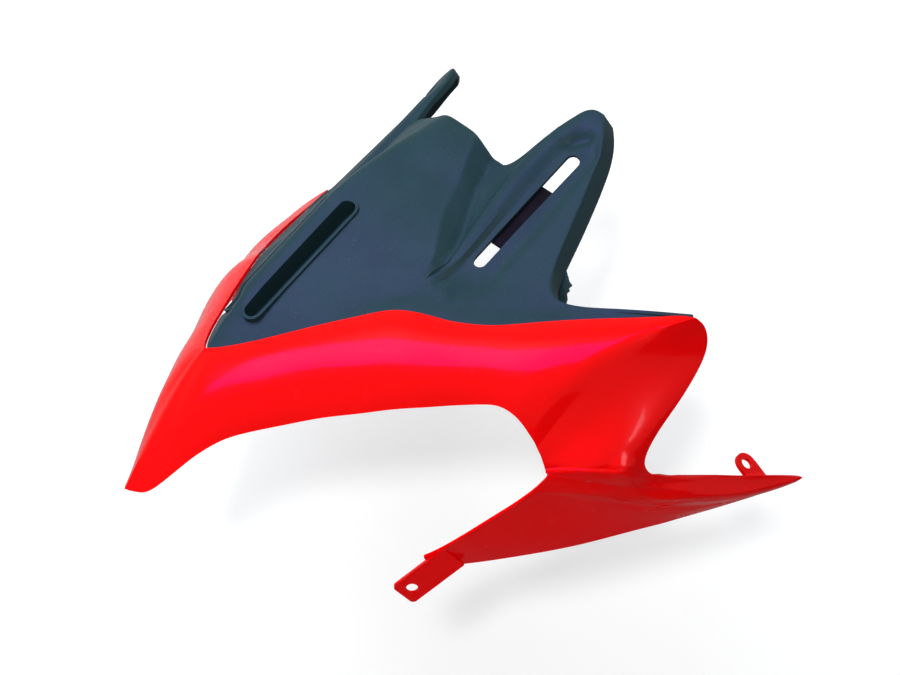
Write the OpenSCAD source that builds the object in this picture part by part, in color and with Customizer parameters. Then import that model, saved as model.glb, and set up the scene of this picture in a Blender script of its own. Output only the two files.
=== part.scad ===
/* [Display] */

/* [Body] */
// Overall width over the two bars: the whole skin follows it
body_w = 500; // [450:5:550]

/* [Nose panel] */
// Rake of the four screen slots from the horizontal, degrees
rake = 37.5; // [30:0.5:45]
// Wall thickness of the black panel
panel_t = 3; // [2:0.5:4]
// Side slope of the nose beside the lower slots, as fall over run
side_slope = 0.57; // [0.5:0.01:0.65]
// How far the crest between the lower slots stands above them
crest_h = 10; // [4:1:14]
// How far the tongue falls back at its top
tongue_fall = 28; // [10:1:40]

/* [Horns] */
// Distance of each horn slot from the centre plane
horn_y = 110; // [95:1:125]
// Depth of the horn plate at its slot, below the slot plane
horn_depth = 70; // [55:1:85]
// Outward tilt of the horn plate, degrees
horn_tilt = 27; // [15:1:35]
// Side slope of the horn plate outside its slot, as fall over run
outer_slope = 0.45; // [0.35:0.01:0.55]
// Height of the band beside the horn slot's groove
ridge_h = 4; // [2:0.5:8]
// Depth of the pocket between tongue and horn at its open end
pocket_d = 10; // [5:0.5:14]
// Depth of the horn's side wall
horn_wall = 17; // [10:1:24]

/* [Screen slots] */
// Length between the end centres of every slot
slot_len = 112; // [90:1:125]
// Width of a horn slot
horn_slot_w = 11; // [8:0.5:13]
// Height along the rake of a horn slot's lower end
horn_slot_s = 178; // [165:1:190]
// Distance of each lower slot from the centre plane
low_y = 16; // [14:1:24]
// Width of a lower slot
low_slot_w = 14; // [10:0.5:18]
// Height along the rake of a lower slot's lower end
low_slot_s = 36; // [30:1:45]
// How far the rim round a lower slot stands above the nose
rim_up = 0.6; // [0:0.1:1.5]
// Depth of the cup under a lower slot
cup_d = 16; // [8:1:17]
// Outward tilt of a lower slot's cup, degrees
low_tilt = 20; // [10:1:25]
// Wall of a lower slot's cup
cup_wall = 2.5; // [2:0.5:3]

/* [Slot slides] */
// Length of a slide under a horn slot
slide_l = 62; // [40:1:70]
// Width of a slide
slide_w = 16; // [14:0.5:20]
// Thickness of a slide
slide_t = 4; // [3:0.5:5]
// From the horn slot's lower end to the slide's lower end
slide_start = 20; // [5:1:30]
// Gap between a slide and the panel
slide_gap = 0.5; // [0.4:0.1:1]

/* [Painted shell] */
// Wall thickness of the painted shell
shell_t = 2.6; // [2:0.2:4]
// Gap between the painted shell and the panel
seam_gap = 0.4; // [0.3:0.1:1]

/* [Tabs] */
// Width of the front tab
front_tab_w = 24; // [18:1:28]
// Radius of the front tab's hole
front_hole_r = 4.8; // [3:0.1:6]
// Thickness of both tabs
tab_t = 3; // [2:0.5:4]
// From the front tab's hole to its free end
tab_end = 10.5; // [9:0.5:16]
// Width of the rear tab
rear_tab_w = 19.5; // [16:0.5:24]
// From the rear tab's hole square down to its root on the wing
rear_tab_run = 13; // [12.6:0.1:14]
// Lean of the rear tab toward the front, degrees
rear_tab_lean = 27.5; // [15:0.5:32]
// Radius of the rear tab's hole
rear_hole_r = 4.8; // [3:0.1:5.5]

/* [Hidden] */
size = body_w / 500;
front_hole = size * [-126, -128, -153];
tab_run = 52;
rear_hole = size * [117.1, -240.6, -66.9];

// Helpers: easing, and a smooth line through points given as [x, y]
function ease(a, b, x) = let (t = max(0, min(1, (x - a) / (b - a)))) t * t * (3 - 2 * t);
function slope_at(p, i) =
    let (a = p[max(i - 1, 0)], b = p[min(i + 1, len(p) - 1)]) (b[1] - a[1]) / (b[0] - a[0]);
function span_of(p, x, i = 0) = (i >= len(p) - 2 || x < p[i + 1][0]) ? i : span_of(p, x, i + 1);
function through(p, x) =
    let (i = span_of(p, x), a = p[i], b = p[i + 1], w = b[0] - a[0],
         t = max(0, min(1, (x - a[0]) / w)), m = slope_at(p, i) * w, n = slope_at(p, i + 1) * w)
    a[1] * (2 * t ^ 3 - 3 * t ^ 2 + 1) + m * (t ^ 3 - 2 * t ^ 2 + t)
    + b[1] * (3 * t ^ 2 - 2 * t ^ 3) + n * (t ^ 3 - t ^ 2);

// The rake frame: s runs up the rake, w outward from the centre plane, h square to the slots
rake_origin = [-232, 0, 43];
function world(s, y, h) = size * (rake_origin
    + [s * cos(rake) - h * sin(rake), y, s * sin(rake) + h * cos(rake)]);

// The seam between black panel and painted shell, as rake height and depth over width
seam_s = [[0, -9], [10, -3], [28, 14], [46, 36], [64, 58], [82, 80], [99, 100], [112, 109],
    [124, 114], [136, 120], [159, 136], [192, 173], [229, 213], [256, 242]];
seam_h = [[0, -11], [10, -14], [28, -20], [46, -27], [64, -34], [82, -42], [99, -50], [112, -58],
    [124, -65], [136, -73], [159, -87], [192, -109], [229, -136], [256, -155]];
function seam(w, gap = 0) = world(through(seam_s, w) + gap, w, through(seam_h, w));

// The panel's rear outline: how far up the rake each width reaches
rear_s = [[0, 268], [20, 267], [34, 265], [44, 261], [54, 257], [66, 257], [75, 264], [80, 284],
    [84, 304], [88, 321], [94, 332], [101, 336], [110, 332], [117, 320], [124, 300], [135, 268],
    [147, 232], [156, 204], [165, 189], [178, 184], [193, 191], [214, 208.5], [235, 226], [256, 243.5]];

// The panel's depth below the slot plane
slot_drop = -7;
crest_line = [[0, crest_h], [5, crest_h * 0.86], [10, crest_h * 0.5], [low_y, 0], [24, -5], [40, -14]];
function across(w) = w < 40 ? through(crest_line, w)
    : -14 - side_slope * (w - 40) - 0.0006 * max(0, w - 90) ^ 2;
function front_fall(s) = through([[-9, -14], [14, -8], [37, -2], [60, 0], [300, 0]], s);
function top_fall(s) = -tongue_fall * (max(0, s - 148) / 120) ^ 1.6;
function nose(s, w) = slot_drop + front_fall(s) + top_fall(min(s, 280)) * (1 - ease(60, 130, w))
    + (w < 95 ? crest_h - (crest_h - across(w)) * (1 - 0.5 * ease(210, 265, s)) : across(w));

// Lines that run up the rake, as width over rake height: the tongue's edge, the foot of its side wall,
// both edges of the band beside the horn slot, and the foot of the band in the slot's groove
edge_line = [[110, 80], [148, 89], [158, 87], [170, 81], [186, 71], [200, 64], [225, 55], [260, 42], [400, 42]];
band_line = [[110, 96], [164, 96], [211, 89], [258, 84.5], [298, 85], [329, 93], [400, 94]];
groove_line = [[110, 101], [170, 101], [210, 99], [254, 96], [300, 96], [336, 98], [400, 98]];
function tongue_edge(s) = through(edge_line, max(110, s));
function band_edge(s) = through(band_line, max(110, s));
function groove_edge(s) = through(groove_line, max(110, s));
function valley(s) = min(tongue_edge(s) + 11, band_edge(s) - 2);
// Where the horn's foot lies across the flank, as rake height over width
foot_line = [[0, 148], [60, 150], [90, 151], [99, 146], [106, 147], [113, 156], [122, 168], [145, 180], [190, 205], [250, 262]];
function foot(w) = through(foot_line, w);
foot_wall = 7;

function plate(w) = -horn_depth - tan(horn_tilt) * (min(w, 115) - horn_y) - outer_slope * max(0, w - 115);
function pocket(s, w) = pocket_d * ease(160, 262, s) * (1 - ease(valley(s) + 4, band_edge(s), w));
function ridge(s, w) =
    let (e = band_edge(s), g = groove_edge(s), arc = norm([s - horn_slot_s - slot_len - 13, w - horn_y]))
    ridge_h * ease(e - 6, e, w)
    * max(1 - ease(g, g + 1.5, w), s > horn_slot_s + slot_len + 13 ? ease(11.5, 14.5, arc) : 0);
function horn(s, w) = plate(w) - pocket(s, w) + ridge(s, w);
function depth(s, w) =
    let (side = ease(tongue_edge(s), valley(s), w), f = foot(w), lead = 1 + 38 * ease(106, 126, w),
         soft = foot_wall - 1 + 10 * ease(110, 150, w), up = ease(f - lead, f + soft, s))
    s < 110 ? nose(s, w) : nose(s, w) + (horn(s, w) - nose(s, w)) * side * up;

// Shell: a sheet of points, thickened along its own normals and closed round the edge
function unit(v) = v / max(norm(v), 0.000001);
function sheet_normal(g, i, j) =
    let (n = len(g) - 1, m = len(g[0]) - 1)
    unit(cross(g[min(i + 1, n)][j] - g[max(i - 1, 0)][j], g[i][min(j + 1, m)] - g[i][max(j - 1, 0)]));
module sheet(g, t) {
    n = len(g);
    m = len(g[0]);
    back = n * m;
    top = [for (i = [0:n - 1], j = [0:m - 1]) g[i][j]];
    under = [for (i = [0:n - 1], j = [0:m - 1]) g[i][j] - t * sheet_normal(g, i, j)];
    faces = [
        for (i = [0:n - 2], j = [0:m - 2])
            let (a = i * m + j, b = a + m)
            each [[a, b + 1, b], [a, a + 1, b + 1],
                [back + a, back + b, back + b + 1], [back + a, back + b + 1, back + a + 1]],
        for (i = [0:n - 2])
            let (a = i * m, b = a + m, c = a + m - 1, d = c + m)
            each [[a, b, back + b], [a, back + b, back + a], [c, back + d, d], [c, back + c, back + d]],
        for (j = [0:m - 2])
            let (a = j, c = (n - 1) * m + j)
            each [[a, back + a + 1, a + 1], [a, back + a, back + a + 1],
                [c, c + 1, back + c + 1], [c, back + c + 1, back + c]]];
    polyhedron(concat(top, under), faces);
}

// Black panel: columns run up the rake from the seam to the rear outline. Up to the groove they follow
// the lines above, so that every edge stays crisp.
half_cols = [0, 5, 10, 16, 25, 36, 48, 60, 63, 66.5, 70, 76, 80, 82, 84, 87.5, 91, 95, 98,
    105, 115, 121, 128, 136, 145, 155, 165, 177, 192, 211, 231, 252];
flank_rows = 7;
rows = 20;
function part_way(a, b, lo, hi, c) = lo + (hi - lo) * (c - a) / (b - a);
function col_w(c, s) =
    let (e = tongue_edge(s), v = valley(s), b = band_edge(s), g = groove_edge(s))
    c <= 60 ? c * e / 60 : c <= 70 ? part_way(60, 70, e, v, c) : c <= 84 ? part_way(70, 84, v, b, c)
    : c <= 95 ? part_way(84, 95, b, g, c) : c <= 105 ? part_way(95, 105, g, 105, c) : c;
function rear_point(c) = let (w = col_w(c, 300)) [w, max(through(rear_s, w), through(seam_s, w) + 1.5)];
function rear_out(i) =
    let (n = len(half_cols) - 1, a = rear_point(half_cols[max(i - 1, 0)]),
         b = rear_point(half_cols[min(i + 1, n)]), t = unit([b[0] - a[0], b[1] - a[1]]))
    i == 0 ? [0, 1] : [-t[1], t[0]];
function row_s(k, a, f, b) =
    let (wall = min(foot_wall, (b - f) * 0.3), n = flank_rows)
    k <= n ? a + (f - a) * k / n
    : k <= n + 2 ? f + wall * (k - n) / 2
    : f + wall + (b - f - wall) * (k - n - 2) / (rows - n - 2);
// The rim: the rear outline turns back over a small radius into a wall
function rim_wall(w) = through([[0, 9], [60, 9], [80, 7], [96, 9], [106, horn_wall], [150, horn_wall],
    [170, 9], [195, 3], [250, 2]], w);
function rim(w) =
    let (d = rim_wall(w), o = 1.8 * ease(215, 170, w) + 0.2) [[o * 0.5, 0.3], [o, 1.4], [o, d * 0.5], [o, d]];
function skin(s, w, a, miss) = depth(s, w) + miss * (1 - ease(0, 26, s - a));
function panel_col(i, side) =
    let (c = half_cols[i], w0 = col_w(c, 0), a = through(seam_s, w0) + 0.3,
         b = rear_point(c), miss = through(seam_h, w0) - depth(a, w0), o = rear_out(i),
         f = max(a + (b[1] - a) * 0.35, min(foot(col_w(c, 150)), (a + b[1]) / 2)))
    concat([for (k = [0:rows])
            let (s = row_s(k, a, f, b[1]), w = k == rows ? b[0] : col_w(c, s))
            world(s, side * w, skin(s, w, a, miss))],
        [for (r = rim(b[0]))
            world(b[1] + r[0] * o[1], side * (b[0] + r[0] * o[0]), skin(b[1], b[0], a, miss) - r[1])]);
panel_sheet = [
    for (i = [len(half_cols) - 1:-1:1]) panel_col(i, 1),
    for (i = [0:len(half_cols) - 1]) panel_col(i, -1)];

// How far a cutter stands out past the wall that it cuts
cut_run = 15;
// A long hole with round ends, standing square to a plane tilted about the rake line
module slot_cut(s, y, h, tilt, w, top, low) {
    a = world(s, y, h);
    b = world(s + slot_len / size, y, h);
    hull() for (p = [a, b])
        translate(p) rotate([0, -rake, 0]) rotate([tilt, 0, 0])
            translate([0, 0, low]) cylinder(d = w, h = top - low, $fn = 24);
}
module low_slots(w, top, low) {
    for (side = [-1, 1]) slot_cut(low_slot_s, side * low_y, slot_drop, -side * low_tilt, w, top, low);
}
module screen_support() {
    color([0.13, 0.16, 0.18]) difference() {
        union() {
            sheet(panel_sheet, panel_t);
            low_slots(low_slot_w + 2 * cup_wall, rim_up, -cup_d - cup_wall);
        }
        for (side = [-1, 1])
            slot_cut(horn_slot_s, side * horn_y, -horn_depth, -side * horn_tilt, horn_slot_w, cut_run, -cut_run);
        low_slots(low_slot_w, cut_run, -cup_d);
    }
}

// Painted shell: ribs run from the seam, or the leg's rear edge, to the headlight opening
seam_ribs = [[0, [-307, 0, -73]], [2, [-302, 8, -74]], [3.5, [-296, 14, -74]], [5, [-284, 23, -62]],
    [7, [-267, 33, -45]], [10, [-253, 41, -35]], [18, [-243, 48, -29]], [28, [-231, 59, -24]],
    [46, [-208, 78, -17]], [64, [-188, 98, -10]], [82, [-169, 119, -5]], [99, [-149, 138, 0]],
    [117, [-131, 153, 2]], [135, [-115, 166, 4]], [159, [-97, 183, 6]], [182, [-90, 192, 6]],
    [204, [-85, 199, 3]], [224, [-81, 205, -2]], [241, [-76, 210, -11]], [254, [-72, 214, -20]]];
// Leg and wing: [rear or lower edge, edge of the opening, how far the curve's two middle points stand
// out, and up]. The wing's crease is the rib that starts at its tip.
leg_ribs = [
    [[61, 254, 58], [-70, 215, -25], [3, 4], [12, 44]],
    [[63, 254, 43], [-69, 217, -29], [5, 6], [9, 30]],
    [[55, 254, 26], [-68, 218, -32], [8, 8], [5, 17]],
    [[37, 254, 4], [-67, 219, -36], [11, 11], [2, 7]],
    [[16, 254, -17], [-66, 220, -39], [13, 13], [0, 2]],
    [[4, 254, -34], [-65, 220, -42], [14, 14], [2, 2]],
    [[4, 254, -45], [-65, 221, -43], [11, 16], [4, 4]],
    [[19, 253, -56], [-65, 221, -44], [13, 26], [6, 7]],
    [[52, 252, -63], [-65, 221, -45], [13, 34], [2, 7]],
    [[105, 250, -72], [-65, 222, -46], [12, 39], [-6, -3]],
    [[163, 247, -83], [-65, 222, -47], [8, 52], [-26, 4]],
    [[163, 246, -87], [-66, 221, -49], [8, 51], [-27, 1]],
    [[117, 240, -94], [-68, 218, -53], [15, 39], [-8, -5]],
    [[67, 233, -100], [-73, 213, -60], [30, 14], [-4, 14]],
    [[21, 220, -107], [-82, 203, -71], [20, 5], [20, 8]],
    [[-20, 200, -117], [-92, 190, -83], [8, 3], [6, 3]],
    [[-58, 178, -124], [-104, 172, -99], [3, 2], [0, 0]],
    [[-92, 150, -132], [-114, 155, -113], [0, 0], [0, 0]],
    [[-110, 138, -132], [-121, 142, -122], [0, 0], [0, 0]],
    [[-119, 134, -130], [-123, 138, -124], [0, 0], [0, 0]]];
function seam_rib(r, i) =
    let (a = seam(r[0], -seam_gap), b = size * r[1], d = b - a, f = ease(0, 7, i))
    [a, a + [d[0] * (0.27 + 0.23 * f), d[1] * (0.45 + 0.05 * f), d[2] * (0.17 - 0.05 * f)],
        a + [d[0] * (0.64 + 0.31 * f), d[1] * (0.85 + 0.1 * f), d[2] * (0.56 - 0.06 * f)], b];
function leg_rib(r) =
    let (a = r[0], d = r[1] - a)
    size * [a, a + d / 3 + [0, r[2][0], r[3][0]], a + d * 2 / 3 + [0, r[2][1], r[3][1]], r[1]];
near_ribs = concat([for (i = [0:len(seam_ribs) - 1]) seam_rib(seam_ribs[i], i)],
    [for (r = leg_ribs) leg_rib(r)]);
function blend(r, i, t, k) =
    let (n = len(r) - 1, p = r[max(i - 1, 0)][k], q = r[i][k], u = r[min(i + 1, n)][k], v = r[min(i + 2, n)][k])
    q + 0.5 * t * (u - p + t * (2 * p - 5 * q + 4 * u - v + t * (3 * (q - u) + v - p)));
function bezier(c, t) = c[0] * (1 - t) ^ 3 + 3 * c[1] * t * (1 - t) ^ 2 + 3 * c[2] * t ^ 2 * (1 - t) + c[3] * t ^ 3;
rib_rows = 8;
fan_ribs = 7;
function side_cols(r, side, last) = [
    for (i = [0:last - 1], t = i < fan_ribs ? [0] : [0, 0.5])
        let (c = [for (k = [0:3]) blend(r, i, t, k)])
        [for (j = [0:rib_rows]) let (p = bezier(c, j / rib_rows)) [p[0], side * p[1], p[2]]]];
far_last = len(seam_ribs) - 1;
far_side = side_cols(near_ribs, 1, far_last);
shell_sheet = concat([for (i = [len(far_side) - 1:-1:1]) far_side[i]],
    side_cols(near_ribs, -1, len(near_ribs) - 1));

module front_tab() {
    half = front_tab_w / 2;
    corner = 4;
    translate(front_hole) rotate([0, 0, -33]) rotate([112, 0, 0]) rotate([0, 0, 45])
        difference() {
            union() {
                translate([-tab_end, corner - half, -tab_t / 2])
                    cube([tab_end, front_tab_w - 2 * corner, tab_t]);
                translate([corner - tab_end, -half, -tab_t / 2]) cube([tab_run, front_tab_w, tab_t]);
                for (side = [-1, 1])
                    translate([corner - tab_end, side * (half - corner), 0])
                        cylinder(r = corner, h = tab_t, center = true, $fn = 48);
            }
            cylinder(r = front_hole_r, h = cut_run, center = true, $fn = 48);
        }
}
module rear_tab() {
    r = rear_tab_w / 2;
    out = r * cos(rear_tab_lean);
    up = r * sin(rear_tab_lean);
    left = -out + (rear_tab_run - up) * tan(rear_tab_lean);
    right = out + (rear_tab_run + up) * tan(rear_tab_lean);
    translate(rear_hole) rotate([0, 11.5, 0]) rotate([45, 0, 0])
        difference() {
            union() {
                cylinder(r = r, h = tab_t, center = true, $fn = 48);
                linear_extrude(height = tab_t, center = true)
                    polygon([[out, up], [-out, -up], [left, -rear_tab_run], [right, -rear_tab_run]]);
            }
            cylinder(r = rear_hole_r, h = cut_run, center = true, $fn = 48);
        }
}
module painted_shell() {
    color([0.75, 0.02, 0.02]) {
        sheet(shell_sheet, shell_t);
        front_tab();
        rear_tab();
    }
}

module slot_slides() {
    color([0.08, 0.09, 0.1]) for (side = [-1, 1])
        translate(world(horn_slot_s + slide_start, side * horn_y, -horn_depth))
            rotate([0, -rake, 0]) rotate([-side * horn_tilt, 0, 0])
                translate([0, -slide_w / 2, -panel_t - slide_gap - slide_t]) cube([slide_l, slide_w, slide_t]);
}

module seated() {
    translate(-front_hole) children();
}
seated() painted_shell();
seated() screen_support();
seated() slot_slides();
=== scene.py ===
# %% [markdown]
# # A motorcycle nose fairing
# The fairing is two thin moulded skins that meet along one seam: a gloss red shell and a matte black
# support for the windscreen. Two dark slides sit under the slots in its horns.
#
# Units are metres. +X points to the rear of the motorcycle, -Y to the side with the leg and wing, and +Z up.
# The origin is the centre of the hole in the front tab, where the fairing is bolted on.

import math

import bpy
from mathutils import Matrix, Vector


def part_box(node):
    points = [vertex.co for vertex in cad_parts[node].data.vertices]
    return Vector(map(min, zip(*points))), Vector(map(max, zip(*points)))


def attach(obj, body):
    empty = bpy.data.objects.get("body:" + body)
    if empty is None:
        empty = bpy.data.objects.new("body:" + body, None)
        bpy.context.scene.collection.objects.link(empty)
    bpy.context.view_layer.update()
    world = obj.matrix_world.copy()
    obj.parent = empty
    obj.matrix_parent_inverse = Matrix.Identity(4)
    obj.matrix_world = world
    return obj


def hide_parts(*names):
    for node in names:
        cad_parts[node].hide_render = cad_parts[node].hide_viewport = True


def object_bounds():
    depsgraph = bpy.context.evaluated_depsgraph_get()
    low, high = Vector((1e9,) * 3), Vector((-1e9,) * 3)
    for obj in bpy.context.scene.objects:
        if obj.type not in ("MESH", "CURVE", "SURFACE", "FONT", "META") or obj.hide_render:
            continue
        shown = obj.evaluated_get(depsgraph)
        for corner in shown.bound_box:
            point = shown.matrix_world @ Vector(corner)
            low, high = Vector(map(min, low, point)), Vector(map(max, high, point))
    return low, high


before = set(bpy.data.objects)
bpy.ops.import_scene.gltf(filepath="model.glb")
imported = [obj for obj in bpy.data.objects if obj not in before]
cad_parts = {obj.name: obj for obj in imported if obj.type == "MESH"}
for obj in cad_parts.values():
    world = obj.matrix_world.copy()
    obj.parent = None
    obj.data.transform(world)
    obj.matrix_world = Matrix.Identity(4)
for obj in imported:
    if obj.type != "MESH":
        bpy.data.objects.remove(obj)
cad_low, cad_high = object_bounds()
MM = 0.001
for name in sorted(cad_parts):
    low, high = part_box(name)
    print(name, "mm:", [round(v / MM) for v in low], [round(v / MM) for v in high])

# %% [markdown]
# ## The camera
# The camera looks at the middle of the photo from 35 degrees to the left and 16 degrees up. The long lens
# keeps the perspective as flat as it is there.

# %% Camera
SENSOR, LENS = 36.0, 144.0
TARGET = Vector((126 * MM, 128 * MM, 153 * MM))
AZIMUTH, ELEVATION, DISTANCE = -35.0, 16.0, 2952 * MM


def direction(azimuth, elevation):
    """Unit vector from the object towards a view: azimuth 0 looks along +Y."""
    a, e = math.radians(azimuth), math.radians(elevation)
    return Vector((math.sin(a) * math.cos(e), -math.cos(a) * math.cos(e), math.sin(e)))


camera_data = bpy.data.cameras.new("camera")
camera_data.sensor_width = SENSOR
camera_data.lens = LENS
camera_data.clip_start, camera_data.clip_end = 0.05, 50.0
camera = bpy.data.objects.new("camera", camera_data)
bpy.context.scene.collection.objects.link(camera)
view_from = direction(AZIMUTH, ELEVATION)
camera.location = TARGET + view_from * DISTANCE
camera.rotation_euler = (-view_from).to_track_quat("-Z", "Y").to_euler()
bpy.context.scene.camera = camera
print("camera at mm:", [round(v / MM) for v in camera.location], "lens", LENS)

# %% [markdown]
# ## From a faceted skin to a smooth one
# The frame's skins are made of flat facets about 10 mm wide. A painted surface shows every facet, so each
# skin is rebuilt as a smooth surface: the triangles are paired back into the quads of the grid, a narrow
# bevel holds the edges, and a subdivision rounds the rest.

# %% Helpers for the skins
MERGE, SLIVER = 0.02 * MM, 0.01 * MM
PAIR_FACES, PAIR_SHAPES = math.radians(50), math.radians(60)


def select_only(obj):
    bpy.ops.object.select_all(action="DESELECT")
    obj.select_set(True)
    bpy.context.view_layer.objects.active = obj


def copy_node(node, name):
    """A copy of a CAD node's mesh, merged and turned back into quads."""
    obj = bpy.data.objects.new(name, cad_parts[node].data.copy())
    bpy.context.scene.collection.objects.link(obj)
    select_only(obj)
    obj.data.materials.clear()
    bpy.ops.object.mode_set(mode="EDIT")
    bpy.ops.mesh.select_all(action="SELECT")
    bpy.ops.mesh.remove_doubles(threshold=MERGE)
    bpy.ops.mesh.dissolve_degenerate(threshold=SLIVER)
    bpy.ops.mesh.tris_convert_to_quads(face_threshold=PAIR_FACES, shape_threshold=PAIR_SHAPES)
    bpy.ops.mesh.normals_make_consistent(inside=False)
    bpy.ops.object.mode_set(mode="OBJECT")
    return obj


def apply_modifier(obj, kind, **settings):
    modifier = obj.modifiers.new(kind.title(), kind)
    for key, value in settings.items():
        setattr(modifier, key, value)
    select_only(obj)
    bpy.ops.object.modifier_apply(modifier=modifier.name)


def smooth_skin(obj, edge, angle, levels):
    """Narrow bevels on the sharp edges, then subdivision, then smooth shading."""
    apply_modifier(obj, "BEVEL", width=edge, segments=2, limit_method="ANGLE",
                   angle_limit=math.radians(angle), use_clamp_overlap=True)
    apply_modifier(obj, "SUBSURF", levels=levels, render_levels=levels)
    select_only(obj)
    bpy.ops.object.shade_smooth()
    print(obj.name, len(obj.data.polygons), "faces")


# %% [markdown]
# ## Pressing the fine forms into the skins
# The creases, the recess at the top of each horn's groove and the soft folds are pressed in along lines drawn
# as the camera sees them. A line is a row of points in the picture plane, in mm to the right of and above the
# middle. Both faces of a skin move together, so its wall keeps its thickness.

# %% Picture coordinates
MID_Y = 128 * MM
RIGHT = Vector((-view_from.y, view_from.x, 0.0)).normalized()
UP = view_from.cross(RIGHT)


def in_picture(point):
    """Where a point is seen, in metres to the right of and above the target."""
    ray = point - camera.location
    reach = DISTANCE / -ray.dot(view_from)
    return Vector((ray.dot(RIGHT) * reach, ray.dot(UP) * reach))


def line_distance(point, line):
    """Distance in the picture from a point to a line of points, in metres."""
    best = 1.0
    for a, b in zip(line, line[1:]):
        span = b - a
        t = max(0.0, min(1.0, (point - a).dot(span) / span.dot(span)))
        best = min(best, (point - a - span * t).length)
    return best


print("picture right", [round(v, 3) for v in RIGHT], "up", [round(v, 3) for v in UP])

# %% [markdown]
# ## The press and the smoothing tool
# The press moves the points near a line. With `sharp` the push falls off in a straight line and leaves a
# crease, and without it the push fades softly. `mirrored` does the same on the far side. The smoothing tool
# picks the points near a line and relaxes them with Blender's own Smooth Vertices.


# %% The press
def press(obj, line, reach, push, sharp, mirrored=False, far=False):
    """Move the skin near a line. push is a vector in mm, reach is in mm."""
    path = [Vector(p) * MM for p in line]
    moved = 0
    for vertex in obj.data.vertices:
        for side in ((1, -1) if mirrored else (1,)):
            spot = vertex.co.copy()
            if side == -1:
                spot.y = 2 * MID_Y - spot.y
            if (spot.y > MID_Y) != far:
                continue
            distance = line_distance(in_picture(spot), path) / (reach * MM)
            if distance < 1.0:
                share = 1.0 - distance
                if not sharp:
                    share = share * share * (3.0 - 2.0 * share)
                vertex.co += Vector((push[0], side * push[1], push[2])) * MM * share
                moved += 1
    print(obj.name, "pressed", moved, "points")


def soften(obj, line, reach, times):
    """Smooth the near side of a skin within reach of a line."""
    path = [Vector(p) * MM for p in line]
    select_only(obj)
    bpy.ops.object.mode_set(mode="EDIT")
    bpy.ops.mesh.select_all(action="DESELECT")
    bpy.ops.object.mode_set(mode="OBJECT")
    for vertex in obj.data.vertices:
        if vertex.co.y < MID_Y:
            vertex.select = line_distance(in_picture(vertex.co), path) < reach * MM
    bpy.ops.object.mode_set(mode="EDIT")
    bpy.ops.mesh.vertices_smooth(factor=0.5, repeat=times)
    bpy.ops.object.mode_set(mode="OBJECT")


# %% [markdown]
# ## The two skins
# The painted shell has crisp, narrow edges. The support's edges are a little rounder, as moulded plastic has
# them. Two levels of subdivision are enough for smooth reflections.

# %% The painted shell and the screen support
shell = copy_node("painted_shell", "shell")
smooth_skin(shell, 0.5 * MM, 48, 2)
support = copy_node("screen_support", "support")
smooth_skin(support, 0.7 * MM, 42, 2)

# %% [markdown]
# ## The support's fine forms
# Both sides get the same folds. `H_UP` points straight out of the raked panel, so a positive push raises a
# line and a negative one sinks it.

# %% Press the support
RAKE = math.radians(37.5)
H_UP = Vector((-math.sin(RAKE), 0.0, math.cos(RAKE)))
# the tongue's edge, and the crisp foot of its side wall
tongue_edge = [(20, 162), (8, 129), (-2, 109), (-7, 96), (-10, 80), (-13, 60)]
press(support, tongue_edge, 5, H_UP * 1.3, True, mirrored=True)
wall_foot = [(34, 146), (20, 123), (10, 88), (-2, 68)]
press(support, wall_foot, 6, H_UP * -2.2, True, mirrored=True)
# the band beside the horn's slot stands out
slot_band = [(2, 60), (31, 98), (58, 134), (86, 162)]
press(support, slot_band, 7, H_UP * 1.6, False, mirrored=True)
# the recess at the groove's top end
press(support, [(97, 160), (112, 164)], 8, H_UP * -4.0, False, mirrored=True)
# the soft fold outside the slot
outer_fold = [(117, 150), (61, 82), (26, 44), (4, 38)]
press(support, outer_fold, 10, H_UP * -2.4, False, mirrored=True)
# the far slot's rim lies flush at its low end
press(support, [(-184, 28), (-178, 36)], 12, H_UP * -4.0, False, far=True)
# rounder corners on the horn's tip and toe
soften(support, [(-19, 49), (-8, 57), (1, 63)], 8, 30)
soften(support, [(112, 188), (128, 180), (135, 164), (134, 150)], 9, 8)

# %% [markdown]
# ## The torn edge
# Behind the near horn's root the moulding is torn. A thin ragged piece of the same plastic stands there. It
# is drawn as an outline in picture coordinates, extruded to the wall's thickness and bevelled. Its left part is
# hidden behind the horn's side wall.

# %% The torn edge
TORN = [(88, 62), (94, 60), (97, 50), (98, 46), (100.5, 42.5), (97.5, 40), (98.5, 38), (96, 36),
        (96.5, 31), (95, 26), (90, 28), (86, 31), (84, 36), (84, 44), (85, 54)]
TORN_BEHIND, TORN_WALL = 13 * MM, 2.4 * MM
horn_root = Vector((91, 38)) * MM
root = min(support.data.vertices, key=lambda v: (in_picture(v.co) - horn_root).length).co
torn_depth = (root - TARGET).dot(view_from) - TORN_BEHIND


def from_picture(u, v, depth):
    """The point seen at u, v (mm) that lies depth metres nearer to the camera than the target."""
    scale = 1.0 - depth / DISTANCE
    return TARGET + (RIGHT * u + UP * v) * (MM * scale) + view_from * depth


mesh = bpy.data.meshes.new("torn_edge")
mesh.from_pydata([from_picture(u, v, torn_depth) for u, v in TORN], [], [list(range(len(TORN)))])
torn = bpy.data.objects.new("torn_edge", mesh)
bpy.context.scene.collection.objects.link(torn)
select_only(torn)
bpy.ops.object.mode_set(mode="EDIT")
bpy.ops.mesh.select_all(action="SELECT")
bpy.ops.mesh.extrude_region_move(TRANSFORM_OT_translate={"value": tuple(view_from * TORN_WALL)})
bpy.ops.mesh.select_all(action="SELECT")
bpy.ops.mesh.normals_make_consistent(inside=False)
bpy.ops.object.mode_set(mode="OBJECT")
apply_modifier(torn, "BEVEL", width=0.4 * MM, segments=2, limit_method="ANGLE",
               angle_limit=math.radians(40))
bpy.ops.object.shade_smooth_by_angle(angle=math.radians(35))
print("torn edge by mm:", [round(v / MM) for v in root])
print(torn.name, len(torn.data.polygons), "faces")

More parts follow.
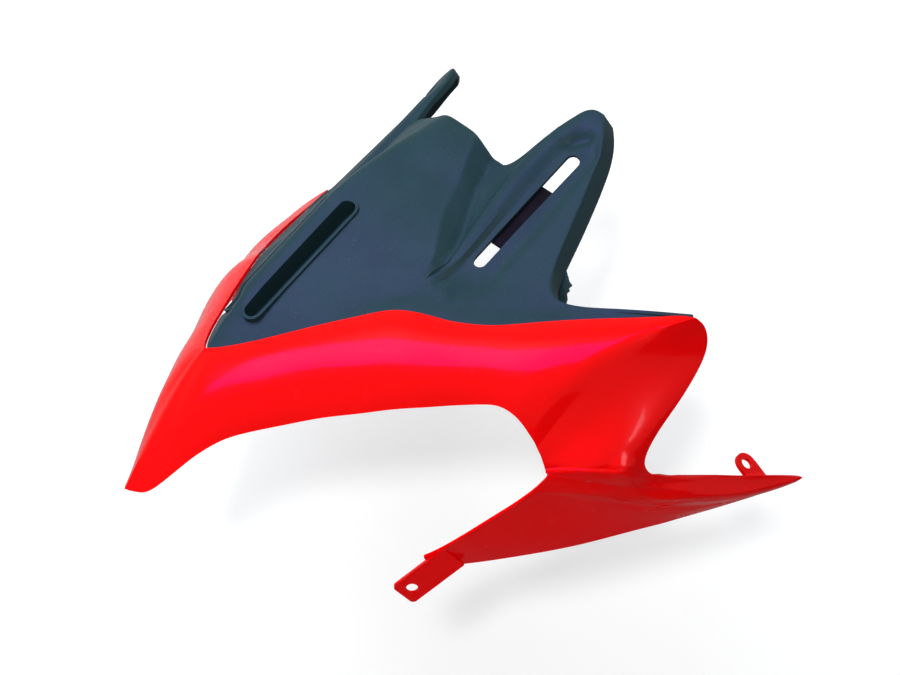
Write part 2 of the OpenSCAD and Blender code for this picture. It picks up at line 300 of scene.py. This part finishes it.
# %% [markdown]
# ## Thin out the support
# After two subdivisions the support has over 270,000 triangles, more than a piece may have. A decimate
# takes out those that its flat areas don't need.

# %% Thin out the support
KEEP_SHARE = 0.7
apply_modifier(support, "DECIMATE", ratio=KEEP_SHARE)
support.data.calc_loop_triangles()
print("support", len(support.data.loop_triangles), "triangles")

# %% [markdown]
# ## The wing's crease
# The wing has one lengthwise crease from its pointed tip to the leg. The surface is relaxed first, then set
# back softly, then raised to a sharp line, and relaxed again beside the line.

# %% Press the shell
soften(shell, [(96, -122), (150, -126), (205, -132)], 13, 30)
soften(shell, [(205, -132), (262, -122)], 6, 12)
set_back = [(288, -115), (242, -126), (196, -131), (150, -126)]
press(shell, set_back, 22, (1.9, 5.0, -0.7), False)
crease = [(288, -115), (242, -126), (196, -131), (173, -132), (154, -128), (143, -108)]
press(shell, crease, 13, (-2.6, -5.4, 1.0), True)
soften(shell, [(100, -139), (165, -144), (200, -141)], 9, 25)
soften(shell, [(98, -119), (120, -119)], 7, 20)
soften(shell, [(140, -98), (147, -106)], 8, 25)

# %% [markdown]
# ## Inside the solid's box
# The raised crease would stand out past the solid. What lies past the knee is scaled back, so that the shell
# ends a tenth of a millimetre inside the solid's box.

# %% Keep the crease inside the box
KNEE, SPARE = 4 * MM, 0.1 * MM
knee = cad_low.y + KNEE
lowest = min(vertex.co.y for vertex in shell.data.vertices)
share = min(1.0, (knee - cad_low.y - SPARE) / (knee - lowest))
for vertex in shell.data.vertices:
    if vertex.co.y < knee:
        vertex.co.y = knee - (knee - vertex.co.y) * share
print("crease kept to", round(share, 3), "of its height")

# %% [markdown]
# ## The slides
# Each slide is a plain block under a horn slot. Only its edges are rounded.

# %% The slides
slides = copy_node("slot_slides", "slides")
apply_modifier(slides, "BEVEL", width=0.8 * MM, segments=3, limit_method="ANGLE",
               angle_limit=math.radians(40))
select_only(slides)
bpy.ops.object.shade_smooth_by_angle(angle=math.radians(35))
print(slides.name, len(slides.data.polygons), "faces")

# %% [markdown]
# ## Materials
# All the materials are procedural. The paint is a saturated red under a clear lacquer with a very fine
# orange peel. The support is black plastic with a fine grain and a little dust.


# %% Material helpers
def new_material(name):
    material = bpy.data.materials.new(name)
    material.use_nodes = True
    return material, material.node_tree.nodes, material.node_tree.links


def noise(nodes, links, scale, detail=3.0, roughness=0.55):
    """A noise texture on object coordinates. scale is per metre."""
    coords = nodes.get("Coords")
    if coords is None:
        coords = nodes.new("ShaderNodeTexCoord")
        coords.name = "Coords"
    texture = nodes.new("ShaderNodeTexNoise")
    texture.inputs["Scale"].default_value = scale
    texture.inputs["Detail"].default_value = detail
    texture.inputs["Roughness"].default_value = roughness
    links.new(coords.outputs["Object"], texture.inputs["Vector"])
    return texture


def ramp(nodes, links, source, stops):
    """A colour ramp on a value, with (position, colour) stops."""
    node = nodes.new("ShaderNodeValToRGB")
    elements = node.color_ramp.elements
    while len(elements) < len(stops):
        elements.new(0.5)
    for element, (position, colour) in zip(elements, stops):
        element.position = position
        element.color = (*colour, 1.0)
    links.new(source, node.inputs["Fac"])
    return node


def bump(nodes, links, height, strength, distance):
    node = nodes.new("ShaderNodeBump")
    node.inputs["Strength"].default_value = strength
    node.inputs["Distance"].default_value = distance
    links.new(height, node.inputs["Height"])
    return node


def grey(value):
    return (value, value, value)


# %% [markdown]
# ## Red paint
# The red varies very slightly over the panel. A soft base carries a thin sharp clear coat, so that lights
# show as small clear reflections. The orange peel is a fine bump on the coat.


# %% Red paint
def make_red_paint():
    material, nodes, links = new_material("red_paint")
    body = nodes["Principled BSDF"]
    depth = noise(nodes, links, 9.0, 2.0)
    reds = [(0.3, (0.86, 0.0, 0.0)), (0.7, (0.93, 0.0, 0.001))]
    colour = ramp(nodes, links, depth.outputs["Fac"], reds)
    links.new(colour.outputs["Color"], body.inputs["Base Color"])
    haze = noise(nodes, links, 60.0, 4.0)
    rough = ramp(nodes, links, haze.outputs["Fac"], [(0.35, grey(0.2)), (0.75, grey(0.3))])
    links.new(rough.outputs["Color"], body.inputs["Roughness"])
    peel = noise(nodes, links, 700.0, 2.0)
    peel_bump = bump(nodes, links, peel.outputs["Fac"], 0.05, 0.3 * MM)
    links.new(peel_bump.outputs["Normal"], body.inputs["Coat Normal"])
    body.inputs["Specular IOR Level"].default_value = 0.05
    body.inputs["Coat Weight"].default_value = 0.13
    body.inputs["Coat Roughness"].default_value = 0.03
    body.inputs["Coat IOR"].default_value = 1.45
    return material


# %% [markdown]
# ## Black plastic
# A black with soft clouds, a few grey specks of dust, uneven roughness from handling and
# a fine moulded grain. Its blue green tint is a painted reflection of the sky.


# %% Black plastic
def make_black_plastic():
    material, nodes, links = new_material("black_plastic")
    body = nodes["Principled BSDF"]
    cloud = noise(nodes, links, 14.0, 4.0)
    # the blue green tint of these blacks is a painted reflection of the sky, not the plastic's own colour
    sky_tinted_blacks = [(0.3, (0.011, 0.032, 0.038)), (0.7, (0.016, 0.043, 0.050))]
    base = ramp(nodes, links, cloud.outputs["Fac"], sky_tinted_blacks)
    dust = noise(nodes, links, 900.0, 1.0)
    speck_stops = [(0.0, grey(0.0)), (0.72, grey(0.0)), (0.78, grey(0.5))]
    specks = ramp(nodes, links, dust.outputs["Fac"], speck_stops)
    mix = nodes.new("ShaderNodeMix")
    mix.data_type = "RGBA"
    links.new(specks.outputs["Color"], mix.inputs["Factor"])
    links.new(base.outputs["Color"], mix.inputs["A"])
    mix.inputs["B"].default_value = (0.16, 0.17, 0.17, 1.0)
    links.new(mix.outputs["Result"], body.inputs["Base Color"])
    wear = noise(nodes, links, 30.0, 5.0)
    rough = ramp(nodes, links, wear.outputs["Fac"], [(0.3, grey(0.42)), (0.75, grey(0.56))])
    links.new(rough.outputs["Color"], body.inputs["Roughness"])
    body.inputs["Specular IOR Level"].default_value = 0.09
    grain = noise(nodes, links, 2200.0, 2.0)
    grain_bump = bump(nodes, links, grain.outputs["Fac"], 0.25, 0.15 * MM)
    links.new(grain_bump.outputs["Normal"], body.inputs["Normal"])
    return material


# %% [markdown]
# ## Black nylon and white paper
# The nylon of the slides is a darker, duller black; its near-black colour is partly its own black and partly
# painted shade for the shade down in the slots. The paper takes light as plain grey paper does, and gets a lift
# for the camera alone, so that it shows white and still keeps the soft shadow. It is one-sided: from behind it
# is clear, and the fairing can be looked at from the back.


# %% Black nylon and white paper
def make_black_nylon():
    material, nodes, links = new_material("black_nylon")
    body = nodes["Principled BSDF"]
    cloud = noise(nodes, links, 120.0, 3.0)
    # near-black: partly the nylon's own black, partly painted shade of the slots it sits in
    base = ramp(nodes, links, cloud.outputs["Fac"], [(0.3, grey(0.002)), (0.7, grey(0.005))])
    links.new(base.outputs["Color"], body.inputs["Base Color"])
    body.inputs["Roughness"].default_value = 0.6
    body.inputs["Specular IOR Level"].default_value = 0.05
    return material


PAPER_LIFT = 0.57


def make_studio_white():
    """White paper that shows full white to the camera where no shadow falls on it."""
    material, nodes, links = new_material("studio_white")
    body = nodes["Principled BSDF"]
    body.inputs["Base Color"].default_value = (0.55, 0.55, 0.55, 1.0)
    body.inputs["Roughness"].default_value = 1.0
    body.inputs["Specular IOR Level"].default_value = 0.0
    lift = nodes.new("ShaderNodeEmission")
    lift.inputs["Strength"].default_value = PAPER_LIFT
    rays = nodes.new("ShaderNodeLightPath")
    seen = nodes.new("ShaderNodeMixShader")
    links.new(rays.outputs["Is Camera Ray"], seen.inputs["Fac"])
    both = nodes.new("ShaderNodeAddShader")
    links.new(body.outputs["BSDF"], both.inputs[0])
    links.new(lift.outputs["Emission"], both.inputs[1])
    links.new(body.outputs["BSDF"], seen.inputs[1])
    links.new(both.outputs["Shader"], seen.inputs[2])
    side = nodes.new("ShaderNodeNewGeometry")
    clear = nodes.new("ShaderNodeBsdfTransparent")
    sided = nodes.new("ShaderNodeMixShader")
    links.new(side.outputs["Backfacing"], sided.inputs["Fac"])
    links.new(seen.outputs["Shader"], sided.inputs[1])
    links.new(clear.outputs["BSDF"], sided.inputs[2])
    links.new(sided.outputs["Shader"], nodes["Material Output"].inputs["Surface"])
    return material


# %% [markdown]
# ## Bodies, slots and materials
# Each piece stands for one node of the frame and rides on its body. The torn edge has no node of its own and
# takes the support's plastic.

# %% Give each piece its material, body and slot
looks = {
    "painted_shell": (shell, "red_paint", make_red_paint()),
    "screen_support": (support, "black_plastic", make_black_plastic()),
    "slot_slides": (slides, "black_nylon", make_black_nylon()),
}
torn.data.materials.append(looks["screen_support"][2])
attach(torn, "root")
for node, (piece, slot, material) in looks.items():
    piece.data.materials.append(material)
    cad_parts[node].data.materials.clear()
    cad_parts[node].data.materials.append(material)
    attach(piece, "root")
    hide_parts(node)
    print(piece.name, "stands for", node, "in", slot)

# %% [markdown]
# ## The set
# The fairing hangs in front of white paper, as in the photo. The paper behind it takes the soft shadow that
# falls below and to the right of it, and a white floor lies further down.

# %% Paper and floor
PAPER_GAP, PAPER_SIZE, FLOOR_SIZE = 330 * MM, 1.3, 9.0
FLOOR_Z = cad_low.z - 400 * MM
white = make_studio_white()


def add_sheet(name, size, location, facing):
    bpy.ops.mesh.primitive_plane_add(size=size, location=location)
    sheet = bpy.context.active_object
    sheet.name = name
    sheet.rotation_euler = facing.to_track_quat("Z", "Y").to_euler()
    sheet.data.materials.append(white)


add_sheet("backdrop", PAPER_SIZE, TARGET - view_from * PAPER_GAP, view_from)
add_sheet("floor", FLOOR_SIZE, Vector((0.0, 0.0, FLOOR_Z)), Vector((0.0, 0.0, 1.0)))
print("floor at mm:", round(FLOOR_Z / MM))

# %% [markdown]
# ## The sky
# A weak cool fill lights the shadows. The camera and reflections see plain white instead.

# %% Sky
SKY_FILL = 0.14
world = bpy.data.worlds.new("studio")
bpy.context.scene.world = world
world.use_nodes = True
sky_nodes, sky_links = world.node_tree.nodes, world.node_tree.links
fill = sky_nodes["Background"]
fill.inputs["Color"].default_value = (0.93, 0.96, 1.0, 1.0)
fill.inputs["Strength"].default_value = SKY_FILL
seen = sky_nodes.new("ShaderNodeBackground")
seen.inputs["Color"].default_value = (1.0, 1.0, 1.0, 1.0)
seen.inputs["Strength"].default_value = 1.0
rays = sky_nodes.new("ShaderNodeLightPath")
either = sky_nodes.new("ShaderNodeMath")
either.operation = "MAXIMUM"
sky_links.new(rays.outputs["Is Camera Ray"], either.inputs[0])
sky_links.new(rays.outputs["Is Glossy Ray"], either.inputs[1])
choose = sky_nodes.new("ShaderNodeMixShader")
sky_links.new(either.outputs["Value"], choose.inputs["Fac"])
sky_links.new(fill.outputs["Background"], choose.inputs[1])
sky_links.new(seen.outputs["Background"], choose.inputs[2])
sky_links.new(choose.outputs["Shader"], sky_nodes["World Output"].inputs["Surface"])
print("sky fill", SKY_FILL)

# %% [markdown]
# ## Lamp tools
# Every lamp aims at the fairing's middle. A card is a lamp that shows as a reflection only, like a coloured
# board beside a product on a photo table.


# %% Lamp tools
def aim(obj, azimuth, elevation, distance):
    away = direction(azimuth, elevation)
    obj.location = TARGET + away * distance
    obj.rotation_euler = (-away).to_track_quat("-Z", "Y").to_euler()


def add_sun(name, azimuth, elevation, strength, spread):
    data = bpy.data.lights.new(name, "SUN")
    data.energy = strength
    data.angle = math.radians(spread)
    obj = bpy.data.objects.new(name, data)
    bpy.context.scene.collection.objects.link(obj)
    aim(obj, azimuth, elevation, 3.0)


def add_softbox(name, azimuth, elevation, distance, size, power, colour):
    data = bpy.data.lights.new(name, "AREA")
    data.shape = "RECTANGLE"
    data.size, data.size_y = size
    data.energy = power
    data.color = colour
    obj = bpy.data.objects.new(name, data)
    bpy.context.scene.collection.objects.link(obj)
    aim(obj, azimuth, elevation, distance)


def add_card(name, azimuth, elevation, distance, size, power, colour):
    """A softbox that only shows as a reflection."""
    add_softbox(name, azimuth, elevation, distance, size, power, colour)
    bpy.data.objects[name].visible_diffuse = False


# %% [markdown]
# ## The lamps
# The key stands beside the camera and gives the soft shadow. A box above lightens the tops. A violet card
# gives the brow its pink sheen, and a small pale card the light on the leg.

# %% Lamps
add_sun("key", -40.0, 23.0, 1.3, 4.5)
add_softbox("top_box", -75.0, 60.0, 1.5, (0.9, 0.9), 24.0, (0.9, 0.96, 1.0))
bpy.data.objects["top_box"].visible_glossy = False
add_card("sky_card", -60.0, 52.0, 1.6, (1.5, 0.8), 42.0, (0.35, 0.03, 1.0))
bpy.data.objects["key"].visible_glossy = False
add_card("cloud_card", 8.0, 20.0, 1.8, (0.5, 0.4), 10.0, (1.0, 0.85, 0.95))
print("lamps:", sorted(lamp.name for lamp in bpy.data.lights))

# %% [markdown]
# ## View settings
# The Standard view shows a colour about as it is written.

# %% View settings
bpy.context.scene.view_settings.view_transform = "Standard"
print("view transform:", bpy.context.scene.view_settings.view_transform)
